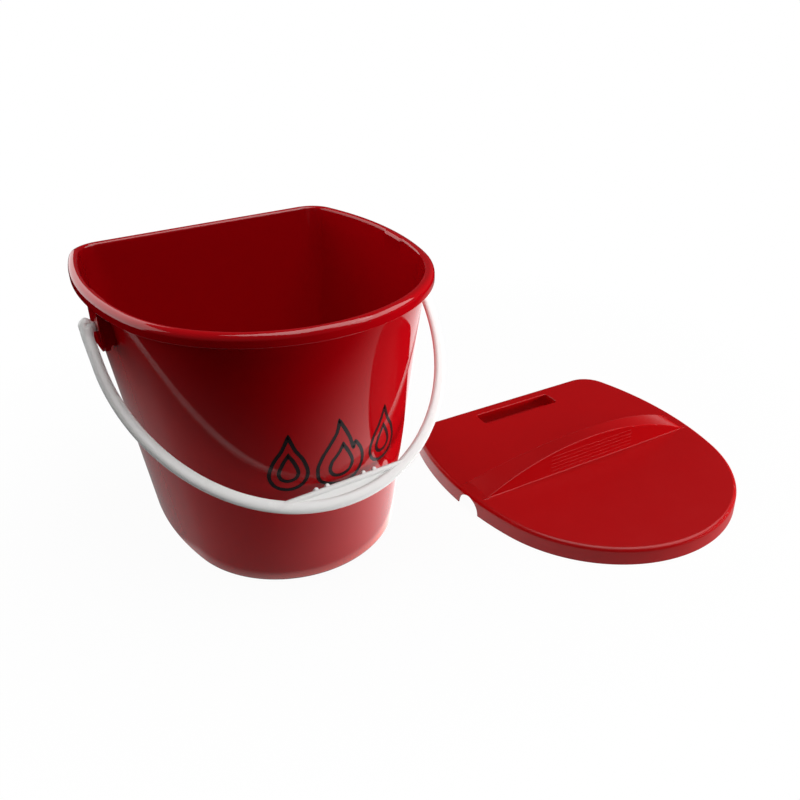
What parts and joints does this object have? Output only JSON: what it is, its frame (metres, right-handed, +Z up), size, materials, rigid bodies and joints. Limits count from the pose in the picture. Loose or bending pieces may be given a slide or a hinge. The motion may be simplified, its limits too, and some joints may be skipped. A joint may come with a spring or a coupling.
{
  "type": "fire bucket",
  "caption": "D-shaped plastic fire bucket with a flat back, a swinging bail handle and a loose lid with a ribbed pinch ridge.",
  "frame": {"origin": "middle of the base on the floor, under the bucket", "axes": "+Z up; -Y to the rounded front; +Y to the flat back that hangs against a wall; +X to the side where the lid lies"},
  "size_m": [0.6213, 0.4267, 0.2665],
  "materials": {
    "bucket_plastic": "gloss moulded",
    "lid_plastic": "satin moulded",
    "handle_plastic": "gloss moulded"
  },
  "bodies": {
    "bucket": {"bucket": "bucket_plastic"},
    "handle": {"handle": "handle_plastic"},
    "lid": {"lid": "lid_plastic"}
  },
  "joints": [
    {"name": "bail_swing", "type": "hinge", "parent": "bucket", "child": "handle", "pos_m": [0, -0.001, 0.2395], "axis": [-1, 0, 0], "range_deg": [0, 198]},
    {"name": "lid_lift", "type": "slide", "parent": "bucket", "child": "lid", "axis": [0, 0, 1], "range_m": [0, 0.35]}
  ]
}
